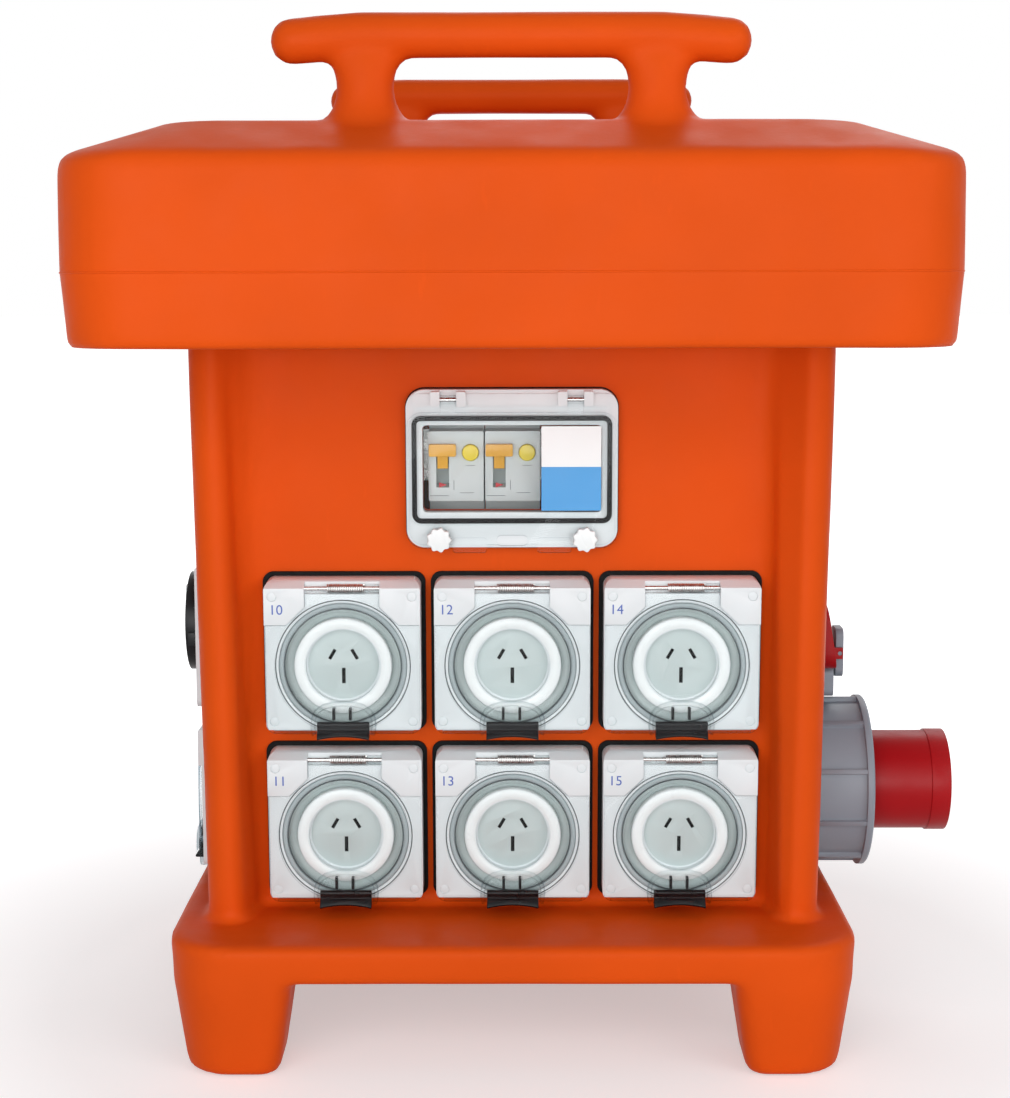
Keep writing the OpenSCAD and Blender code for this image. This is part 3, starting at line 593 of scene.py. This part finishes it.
def mould_line():
    """The thin line of flash that the mould leaves round the canopy."""
    bm = bmesh.new()
    tube(bm, slab_ring(266.2, 277.2, 45, SEAM_Z), 0.75, 6, closed=True)
    return finish_piece("canopy_mould_line", bm, MID, ORANGE, "box", 80)


lower_body()
canopy()
mould_line()
rounded_copy("rear_cover", ORANGE, "box", 1.0)
for cad_node in ("rear_cover_gasket", "window_gasket", "device_gaskets"):
    paint(cad_node, RUBBER)
for cad_node in ("canopy_screws", "rear_cover_screws", "din_rail", "window_hinge_pins", "flap_hinge_pins"):
    paint(cad_node, STEEL)
for cad_node in ("inlet_pins", "earth_bar", "neutral_bar"):
    paint(cad_node, BRASS)
paint("wiring_loom", CABLE)

# ---------------------------------------------------------------- outlets


def coil(bm, x0, x1, y, z, radius, wire, turns):
    steps = 12
    count = turns * steps
    path = []
    for k in range(count + 1):
        t = 2 * math.pi * k / steps
        path.append((x0 + (x1 - x0) * k / count, y + radius * math.cos(t), z + radius * math.sin(t)))
    tube(bm, path, wire, 6)


def cross_cylinder(bm, r, x0, x1, y, z, steps=24):
    turns = [2 * math.pi * k / steps for k in range(steps)]
    loft(bm, [[(x, y + r * math.cos(t), z + r * math.sin(t)) for t in turns] for x in (x0, x1)])


def joined(solids):
    """One mesh, in a device's frame, from closed solids that overlap."""
    whole = None
    for bm in solids:
        bmesh.ops.recalc_face_normals(bm, faces=bm.faces)
        mesh = bpy.data.meshes.new("part")
        bm.to_mesh(mesh)
        bm.free()
        obj = bpy.data.objects.new("part", mesh)
        bpy.context.scene.collection.objects.link(obj)
        if whole is None:
            whole = obj
            continue
        apply_modifier(whole, "BOOLEAN", operation="UNION", object=obj, solver="EXACT")
        bpy.data.objects.remove(obj)
    mesh = whole.data
    bpy.data.objects.remove(whole)
    return mesh


FLAP_Z0, FLAP_Z1 = 21.8, 24.2
HINGE_Y, HINGE_Z = HALF - 4.95, ENC_D - 3.7


def cowl_outline(grow=0.0):
    """The latch cowl seen from the front, open along its lower edge."""
    right = [(20.4, -50.4), (21.2, -45), (20.6, -39.5), (18.2, -34.4), (13.5, -31.0), (7, -29.3), (0, -28.8)]
    cx, cy = 0, -44
    return [(cx + (x - cx) * (1 + grow / 20), cy + (y - cy) * (1 + grow / 12)) for x, y in
            right + [(-x, y) for x, y in right[-2::-1]]]


def cowl_shell():
    """The clear hood over the latch, 1.5 mm thick and open below."""
    rings = [(0.4, FLAP_Z1 - 0.2), (0.0, 28.6), (-0.5, 30.2), (-1.6, 31.2), (-3.2, 31.45)]
    inner = [(-2.1, FLAP_Z1 - 0.2), (-2.3, 28.0), (-3.0, 29.3), (-4.4, 29.9)]
    bm = bmesh.new()
    rows = [[bm.verts.new((x, y, z)) for x, y in cowl_outline(grow)] for grow, z in rings]
    backs = [[bm.verts.new((x, max(y, -50.4), z)) for x, y in cowl_outline(grow)] for grow, z in inner]
    for a, b in list(zip(rows, rows[1:])) + [(q, p) for p, q in zip(backs, backs[1:])]:
        for k in range(len(a) - 1):
            bm.faces.new((a[k], a[k + 1], b[k + 1], b[k]))
    bm.faces.new(rows[-1])
    bm.faces.new(backs[-1][::-1])
    for k in range(len(rows[0]) - 1):
        bm.faces.new((rows[0][k + 1], rows[0][k], backs[0][k], backs[0][k + 1]))
    for side in (0, -1):
        edge = [r[side] for r in rows]
        back = [r[side] for r in backs]
        strip = edge + back[::-1]
        bm.faces.new(strip if side == 0 else strip[::-1])
    ends = [rows[-1][0], rows[-1][-1], backs[-1][-1], backs[-1][0]]
    bm.faces.new(ends)
    return bm


def flap_mesh():
    """The clear flap with its tongue, hinge knuckles, lower lip and raised rims."""
    tongue, shoulder = 24, HALF - 29
    side = HALF - 0.6
    right = [
        (side, shoulder), (36.5, shoulder), (27, HALF - 20), (24.6, HALF - 17.6),
        (tongue, HALF - 16), (tongue, HINGE_Y - 3.3),
    ]
    corner = arc(side - 6, -HALF + 6.2, 6, -90, 0, 5)
    outline = corner + right
    outline += [(-x, y) for x, y in outline[::-1]]
    plate_bm = bmesh.new()
    prism(plate_bm, outline, FLAP_Z0, FLAP_Z1)
    solids = [plate_bm]
    lip = bmesh.new()
    prism_box(lip, -HALF + 5, HALF - 5, -HALF + 0.2, -HALF + 1.7, 13.2, FLAP_Z0 + 0.5)
    solids.append(lip)
    for x0, x1 in ((-tongue, -10.1), (15.1, tongue)):
        knuckle = bmesh.new()
        cross_cylinder(knuckle, 2.8, x0, x1, HINGE_Y, HINGE_Z)
        prism_box(knuckle, x0, x1, HINGE_Y - 3.9, HINGE_Y - 1.5, FLAP_Z0 + 0.05, FLAP_Z0 + 1.1)
        solids.append(knuckle)
    for r0, r1, top in ((43.0, 44.4, 25.4), (36.6, 37.8, 25.0)):
        rim = bmesh.new()
        revolve(rim, ring_section(r0, r1, FLAP_Z1 - 0.6, top, 0.45), 72, (0, SOCKET_Y))
        solids.append(rim)
    return joined(solids)


def prism_box(bm, x0, x1, y0, y1, z0, z1):
    """A closed block between two corners."""
    prism(bm, [(x0, y0), (x1, y0), (x1, y1), (x0, y1)], z0, z1)


def latch_mesh():
    """The black catch: a bar on its pivot under the cowl and a thumb lip curving out below it."""
    bm = bmesh.new()
    y, z = -41, ENC_D + 3.3
    rings = []
    steps = 14
    for k in range(steps + 1):
        x = -17 + 34 * k / steps
        bow = 1.5 * (1 - (x / 17) ** 2)
        sag = 1.6 * (1 - (x / 17) ** 2)
        rings.append([
            (x, y - 0.8, z - 1.2), (x, y - 1.3, z + 1.0), (x, y - 2.6, z + 1.5),
            (x, y - 5.5 - bow * 0.3, z + 0.9), (x, y - 8 - bow * 0.2 + sag, z + 3.6 - bow * 0.8),
            (x, y - 10.8 + sag, z + 5.4 - bow), (x, y - 11.9 + sag, z + 4.8 - bow),
            (x, y - 11.9 + sag, z - 4.9), (x, y - 10.5 + sag, z - 4.9),
            (x, y - 10.4 + sag, z - 2), (x, y - 2, z - 2),
        ])
    loft(bm, rings)
    return joined([bm])


def number(n, place):
    """The outlet's plain number, printed on its upper left corner block."""
    curve = bpy.data.curves.new(f"outlet_{n}_number", "FONT")
    curve.body = str(n)
    curve.size = 9.2
    curve.align_x = "CENTER"
    curve.align_y = "CENTER"
    curve.extrude = 0.04
    text = bpy.data.objects.new(f"outlet_{n}_number", curve)
    bpy.context.scene.collection.objects.link(text)
    graph = bpy.context.evaluated_depsgraph_get()
    mesh = bpy.data.meshes.new_from_object(text.evaluated_get(graph))
    bpy.data.objects.remove(text)
    mesh.transform(place @ Matrix.Translation((-42.8, 32.0, ENC_D + 0.03)))
    obj = bpy.data.objects.new(f"outlet_{n}_number", mesh)
    bpy.context.scene.collection.objects.link(obj)
    mesh.materials.clear()
    mesh.materials.append(INK_BLUE)
    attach(obj, "box")


def place_mesh(name, mesh, place, mat, body, smooth_angle=35, bevel=0.0, segments=2):
    """A placed copy of a mesh that was made in a device's frame."""
    copy = mesh.copy()
    copy.name = name
    copy.transform(place)
    obj = bpy.data.objects.new(name, copy)
    bpy.context.scene.collection.objects.link(obj)
    copy.materials.clear()
    copy.materials.append(mat)
    return dress(obj, body, smooth_angle, bevel, segments)


FLAP_MESH = flap_mesh()
COWL_MESH = joined([cowl_shell()])
LATCH_MESH = latch_mesh()


def outlet(n):
    place = AT_OUTLET[n]
    name = f"outlet_{n}"
    rounded_copy(f"{name}_enclosure", LIGHT, "box", 0.7, 3)
    latch = place_mesh(f"{name}_latch_skin", LATCH_MESH, place, BLACK, f"{name}_latch", 40, 0.5, 3)
    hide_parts(f"{name}_latch")
    flap = place_mesh(f"{name}_flap_skin", FLAP_MESH, place, CLEAR, f"{name}_flap", 35, 0.3, 2)
    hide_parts(f"{name}_flap")
    place_mesh(f"{name}_cowl", COWL_MESH, place, CLEAR, f"{name}_flap", 50)
    for side, x in (("left", -6.0), ("right", 4.8)):
        bm = bmesh.new()
        prism_box(bm, x - 0.9, x + 0.9, -40.2, -32.4, 25.2, 29.4)
        finish_piece(f"{name}_cowl_rib_{side}", bm, place, BLACK, f"{name}_flap", 35, 0.2, 1)
    number(n, place)
    # the white collar round the well
    bm = bmesh.new()
    revolve(bm, ring_section(24.4, 31.9, 14.2, 21.65, 0.8), 72, (0, SOCKET_Y))
    finish_piece(f"{name}_collar", bm, place, COLLAR, "box", 50)
    # the floor of the groove outside it
    bm = bmesh.new()
    revolve(bm, ring_section(31.8, 41.9, 13.6, 14.3, 0.2), 72, (0, SOCKET_Y))
    finish_piece(f"{name}_groove", bm, place, FACE, "box", 50)
    # the flap's grey seal, and dark rings at its edges: painted shade for the dark lines that the flap's
    # clear rims show there
    bm = bmesh.new()
    revolve(bm, ring_section(38.6, 41.7, 18.0, 21.78, 0.5), 72, (0, SOCKET_Y))
    finish_piece(f"{name}_flap_seal", bm, place, SEAL, f"{name}_flap", 50)
    bm = bmesh.new()
    revolve(bm, ring_section(37.7, 38.4, 20.6, 21.76, 0.15), 72, (0, SOCKET_Y))
    revolve(bm, ring_section(43.6, 44.3, 21.56, 21.76, 0.05), 72, (0, SOCKET_Y))
    finish_piece(f"{name}_painted_seal_shade", bm, place, SEAL_EDGE_SHADE, f"{name}_flap", 50)
    # black blocks deep in the three slots: painted shade for the dark inside them
    bm = bmesh.new()
    for x, y, w, h, a in ((-7.3, 6.7, 2.6, 7.8, 30), (7.3, 6.7, 2.6, 7.8, -30), (0, -7.6, 2.7, 10.6, 0)):
        c, s = math.cos(math.radians(a)), math.sin(math.radians(a))
        corners = ((-w / 2, -h / 2), (w / 2, -h / 2), (w / 2, h / 2), (-w / 2, h / 2))
        prism(bm, [(x + u * c + v * s, SOCKET_Y + y - u * s + v * c) for u, v in corners], 12, 15.6)
    finish_piece(f"{name}_painted_slot_shade", bm, place, SLOT_SHADE, "box", 30)


def springs():
    bm = bmesh.new()
    for n in OUTLETS:
        part = bmesh.new()
        coil(part, -9.3, 14.3, HALF - 4.95, ENC_D - 3.7, 2.45, 0.5, 20)
        mesh = bpy.data.meshes.new("coil")
        part.to_mesh(mesh)
        part.free()
        mesh.transform(AT_OUTLET[n])
        bm.from_mesh(mesh)
        bpy.data.meshes.remove(mesh)
    obj = finish_piece("flap_coil_springs", bm, Matrix.Identity(4), STEEL, "box", 60)
    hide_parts("flap_springs")


for outlet_number in OUTLETS:
    outlet(outlet_number)
springs()
rounded_copy("outlet_sockets", FACE, "box", 0.35, 2)
rounded_copy("outlet_screws", LIGHT, "box", 0.4, 2)

# ---------------------------------------------------------------- breaker window


def window():
    rounded_copy("window_frame", LIGHT, "box", 0.6, 3)
    rounded_copy("window_lid", CLEAR_LID, "window_lid", 0.5, 2)
    for side, x in (("left", -47.3), ("right", 47.3)):
        bm = bmesh.new()
        lobes = [(x + r * math.cos(t), -45.3 + r * math.sin(t)) for r, t in
                 ((7.55 + 0.6 * math.cos(9 * a), a) for a in (2 * math.pi * k / 90 for k in range(90)))]
        prism(bm, lobes, 13.3, 18.5)
        knob = finish_piece(
            f"window_knob_{side}_skin", bm, AT_WINDOW, WHITE, f"window_knob_{side}", 50, 0.7, 3
        )
        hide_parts(f"window_knob_{side}")
    bm = bmesh.new()
    seal_loop(bm, 129.5, 70, 6, 3.1, -0.4, 9.4, 11.4)
    seal = finish_piece("window_lid_seal_skin", bm, AT_WINDOW, RUBBER, "window_lid", 50)
    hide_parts("window_lid_seal")
    for i, x in ((1, -36.5), (2, 0.5)):
        rounded_copy(f"breaker_{i}_case", CASE, "box", 0.5, 2)
        rounded_copy(f"breaker_{i}_toggle", TOGGLE, f"breaker_{i}_toggle", 0.8, 3)
        rounded_copy(f"breaker_{i}_test_button", BUTTON, f"breaker_{i}_test_button", 0.7, 3)
        marks(i, x)
    label()


def seal_loop(bm, w, d, r, band, cy, z0, z1):
    """A closed loop of rubber, w by d over its outside."""
    outer = rounded_rect(w, d, r, 0, cy)
    inner = rounded_rect(w - 2 * band, d - 2 * band, max(r - band, 0.5), 0, cy)
    section = ((outer, z0), (outer, z1), (inner, z1), (inner, z0))
    rows = [[bm.verts.new((x, y, z)) for x, y in line] for line, z in section]
    for a, b in zip(rows, rows[1:] + rows[:1]):
        for i in range(len(a)):
            j = (i + 1) % len(a)
            bm.faces.new((a[i], a[j], b[j], b[i]))


def marks(i, x):
    """The breaker's plain printed marks: a red pointer and thin rules, with no lettering."""
    z = -4.0
    bm = bmesh.new()
    prism(bm, [(x - 11.2, -10.6), (x - 11.2, -14.0), (x - 6.0, -12.3)], z, z + 0.08)
    finish_piece(f"breaker_{i}_pointer", bm, AT_WINDOW, INK_RED, "box")
    bm = bmesh.new()
    rules = (
        (x - 1.5, -12.4, 0.4, 6.5), (x - 11, -19.4, 12, 0.35),
        (x + 9.4, 0.6, 6, 0.35), (x + 7, -17.5, 9, 0.35),
    )
    for cx, cy, w, h in rules:
        prism(bm, rounded_rect(w, h, 0.1, cx, cy, 2), z, z + 0.08)
    finish_piece(f"breaker_{i}_rules", bm, AT_WINDOW, INK_GREY, "box")


def label():
    """The two-tone label on the lid, left bare of text."""
    bm = bmesh.new()
    prism(bm, rounded_rect(38.6, 26.4, 0.4, 38.3, 15.0, 3), 13.02, 13.27)
    top = finish_piece("window_label_top", bm, AT_WINDOW, LABEL_WHITE, "window_lid", 35, 0.1, 1)
    bm = bmesh.new()
    prism(bm, rounded_rect(38.6, 28.6, 0.4, 38.3, -12.5, 3), 13.02, 13.27)
    finish_piece("window_label_bottom", bm, AT_WINDOW, LABEL_BLUE, "window_lid", 35, 0.1, 1)
    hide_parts("window_label")


window()

# ---------------------------------------------------------------- side devices

rounded_copy("isolator_box", LIGHT, "box", 0.8, 3)
rounded_copy("isolator_knob", WHITE, "isolator_knob", 0.8, 3)
rounded_copy("isolator_rim", BLACK, "isolator_knob", 0.6, 3)
rounded_copy("inlet_base", RING, "box", 0.6, 2)
rounded_copy("inlet_ring", RING, "inlet_ring", 0.5, 2)
rounded_copy("inlet_shroud", RED, "box", 0.6, 3)
rounded_copy("phase_outlet_base", RING, "box", 0.6, 2)
rounded_copy("phase_outlet_lid", RED, "phase_outlet_lid", 0.8, 3)
rounded_copy("phase_outlet_latch", RING, "phase_outlet_latch", 0.8, 3)

# ---------------------------------------------------------------- floor, light, camera


def studio_white(name):
    """A pale floor that fades to white away from the object, where the camera or a reflection sees it."""
    mat, tree, bsdf = shader(name)
    bsdf.inputs["Base Color"].default_value = (0.8, 0.8, 0.8, 1)
    bsdf.inputs["Roughness"].default_value = 0.95
    bsdf.inputs["Specular IOR Level"].default_value = 0.0
    place = tree.nodes.new("ShaderNodeTexCoord")
    away = add(tree, "ShaderNodeVectorMath", operation="LENGTH")
    tree.links.new(place.outputs["Object"], away.inputs[0])
    fade = tree.nodes.new("ShaderNodeMapRange")
    for slot, value in (("From Min", 0.35), ("From Max", 0.9), ("To Min", 0.42), ("To Max", 1.0)):
        fade.inputs[slot].default_value = value
    tree.links.new(away.outputs["Value"], fade.inputs["Value"])
    lift = add(tree, "ShaderNodeMath", operation="MULTIPLY")
    tree.links.new(seen_directly(tree), lift.inputs[0])
    tree.links.new(fade.outputs["Result"], lift.inputs[1])
    bsdf.inputs["Emission Color"].default_value = (1, 1, 1, 1)
    tree.links.new(lift.outputs[0], bsdf.inputs["Emission Strength"])
    return mat


def seen_directly(tree):
    """1 for camera, glossy and transmission rays, 0 for the rays that light the object."""
    path = tree.nodes.new("ShaderNodeLightPath")
    seen = path.outputs["Is Camera Ray"]
    for kind in ("Is Glossy Ray", "Is Transmission Ray"):
        either = add(tree, "ShaderNodeMath", operation="MAXIMUM")
        tree.links.new(seen, either.inputs[0])
        tree.links.new(path.outputs[kind], either.inputs[1])
        seen = either.outputs[0]
    return seen


def stage():
    mesh = bpy.data.meshes.new("floor")
    bm = bmesh.new()
    bmesh.ops.create_grid(bm, x_segments=1, y_segments=1, size=30)
    bm.to_mesh(mesh)
    bm.free()
    mesh.materials.append(studio_white("studio floor"))
    floor = bpy.data.objects.new("floor", mesh)
    bpy.context.scene.collection.objects.link(floor)


def lamp(name, place, target, size, power, colour=(1, 1, 1)):
    light = bpy.data.lights.new(name, "AREA")
    light.shape = "RECTANGLE"
    light.size, light.size_y = size
    light.energy = power
    light.color = colour
    obj = bpy.data.objects.new(name, light)
    bpy.context.scene.collection.objects.link(obj)
    obj.location = place
    obj.rotation_euler = (Vector(target) - Vector(place)).to_track_quat("-Z", "Y").to_euler()


def world():
    """An even pale surround, plain white where the camera or a reflection sees it."""
    made = bpy.data.worlds.new("surround")
    bpy.context.scene.world = made
    made.use_nodes = True
    tree = made.node_tree
    background = tree.nodes["Background"]
    background.inputs["Color"].default_value = (0.9, 0.92, 0.95, 1)
    background.inputs["Strength"].default_value = 0.34
    white = tree.nodes.new("ShaderNodeBackground")
    white.inputs["Color"].default_value = (1, 1, 1, 1)
    white.inputs["Strength"].default_value = 1.0
    mix = tree.nodes.new("ShaderNodeMixShader")
    tree.links.new(seen_directly(tree), mix.inputs[0])
    tree.links.new(background.outputs[0], mix.inputs[1])
    tree.links.new(white.outputs[0], mix.inputs[2])
    tree.links.new(mix.outputs[0], tree.nodes["World Output"].inputs["Surface"])


def camera():
    data = bpy.data.cameras.new("camera")
    data.sensor_width = 36
    data.lens = 68.5
    obj = bpy.data.objects.new("camera", data)
    bpy.context.scene.collection.objects.link(obj)
    middle = (BASE_LO.x + BASE_HI.x) / 2
    obj.location = (middle, -1.478, 0.5062)
    obj.rotation_euler = (math.radians(90 - 7.265), math.radians(0.13), math.radians(0.18))
    bpy.context.scene.camera = obj


stage()
world()
lamp("key", (-0.8, -2.4, 1.1), (0, 0, 0.28), (1.8, 1.2), 19)
lamp("fill", (1.7, -1.9, 1.0), (0, 0, 0.3), (1.6, 1.4), 15)
lamp("low front", (0, -2.7, 0.35), (0, 0, 0.2), (2.4, 0.8), 22)
lamp("rear", (0.4, 2.0, 2.0), (0, 0, 0.4), (1.8, 1.2), 14)
camera()
bpy.context.scene.view_settings.view_transform = "Standard"
